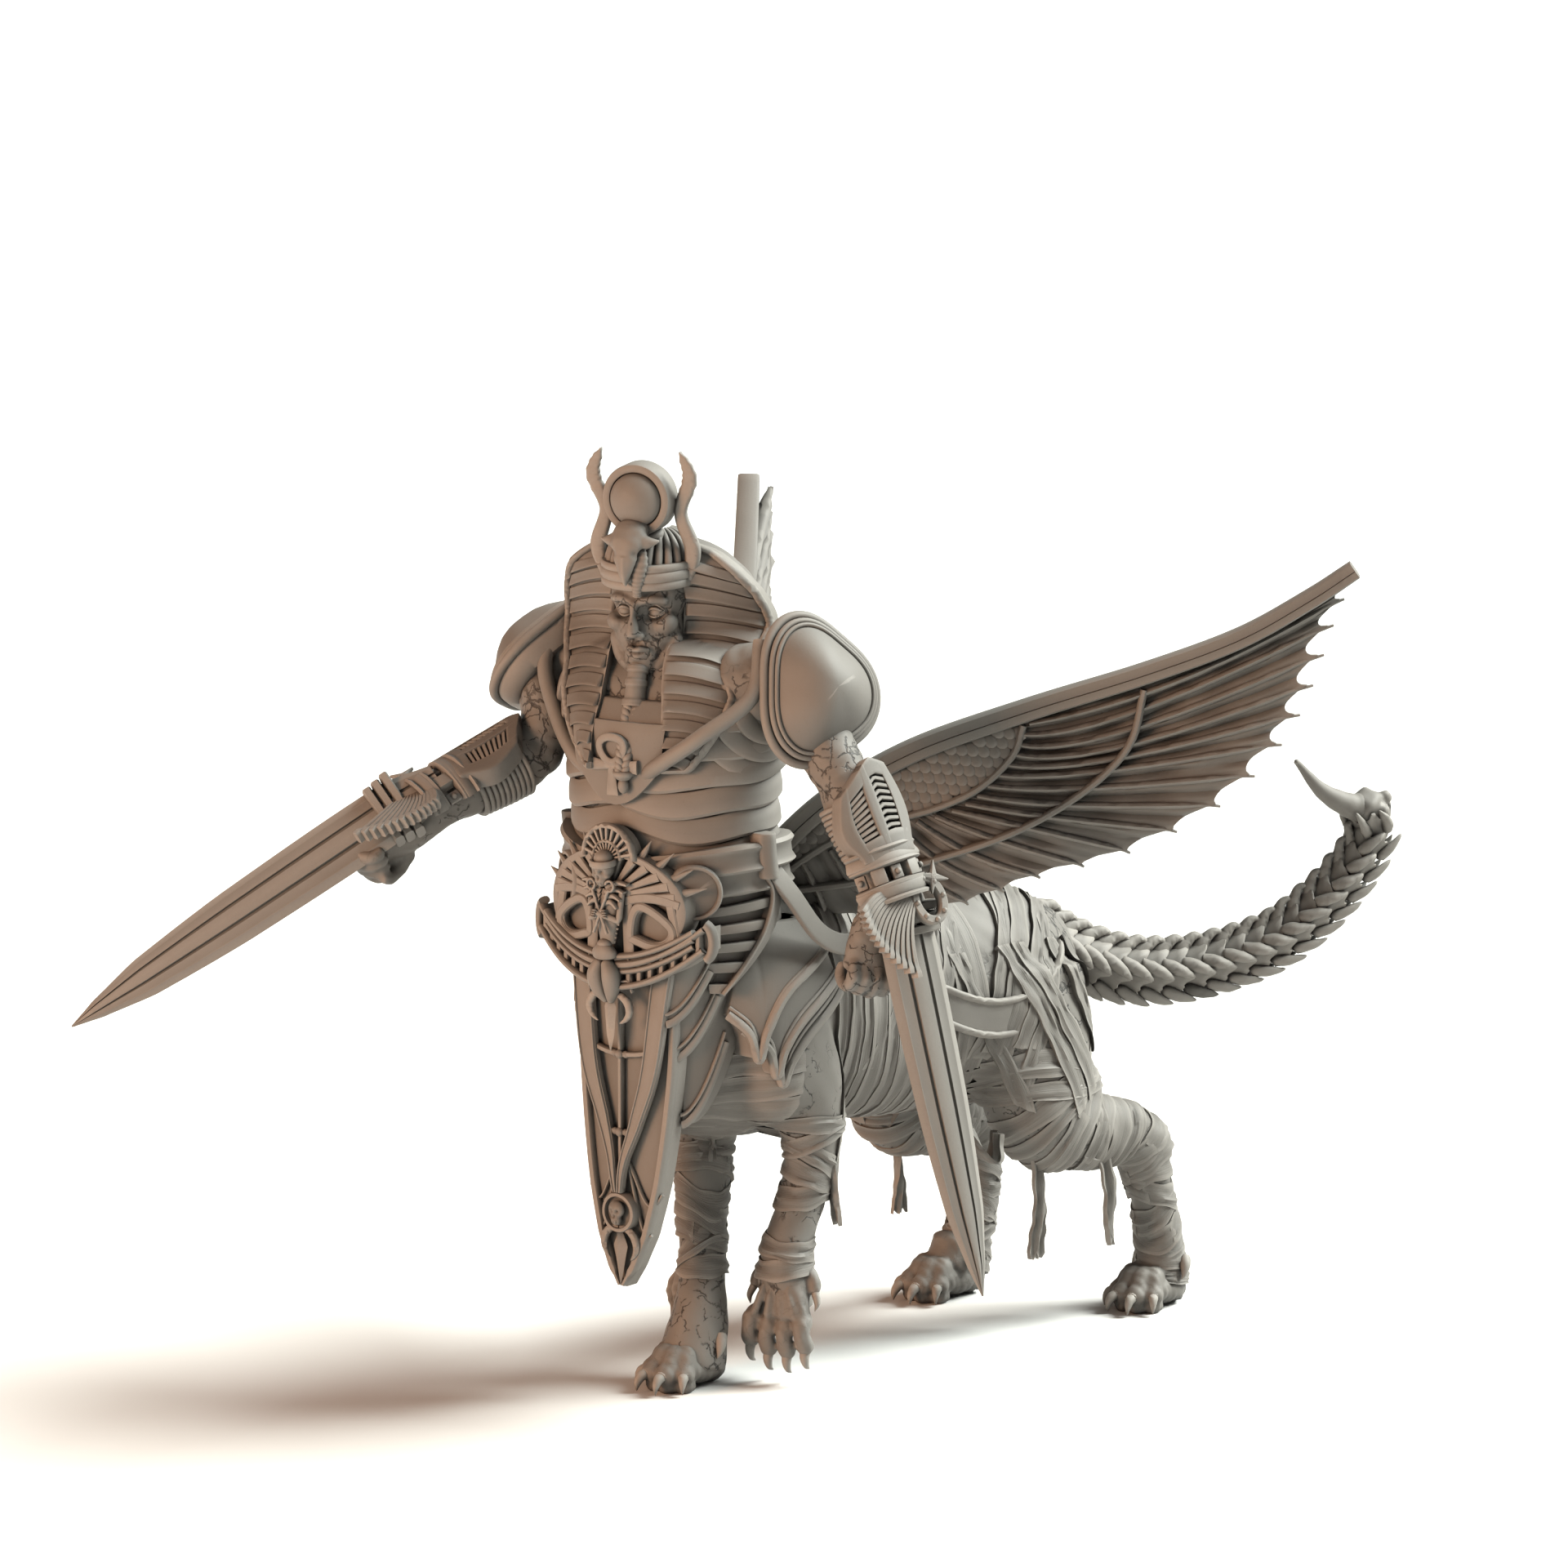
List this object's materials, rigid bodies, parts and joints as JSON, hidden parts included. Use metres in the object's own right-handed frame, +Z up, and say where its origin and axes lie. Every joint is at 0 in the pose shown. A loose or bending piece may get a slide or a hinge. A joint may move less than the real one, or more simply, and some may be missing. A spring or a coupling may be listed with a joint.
{
  "type": "androsphinx display figure",
  "caption": "Winged lion with an armoured royal human torso, striped headcloth, bladed gauntlets and scorpion tail, striding with one forepaw raised, cast in plain grey resin.",
  "frame": {"origin": "on the ground, under the middle of the figure's box", "axes": "+Z up, the figure faces -Y, its own left side is +X"},
  "size_m": [0.1742, 0.2648, 0.1814],
  "materials": {
    "grey_resin": "warm grey cast resin, matt, with fine casting grain and paler worn edges"
  },
  "bodies": {
    "root": {"androsphinx": "grey_resin"}
  },
  "joints": []
}
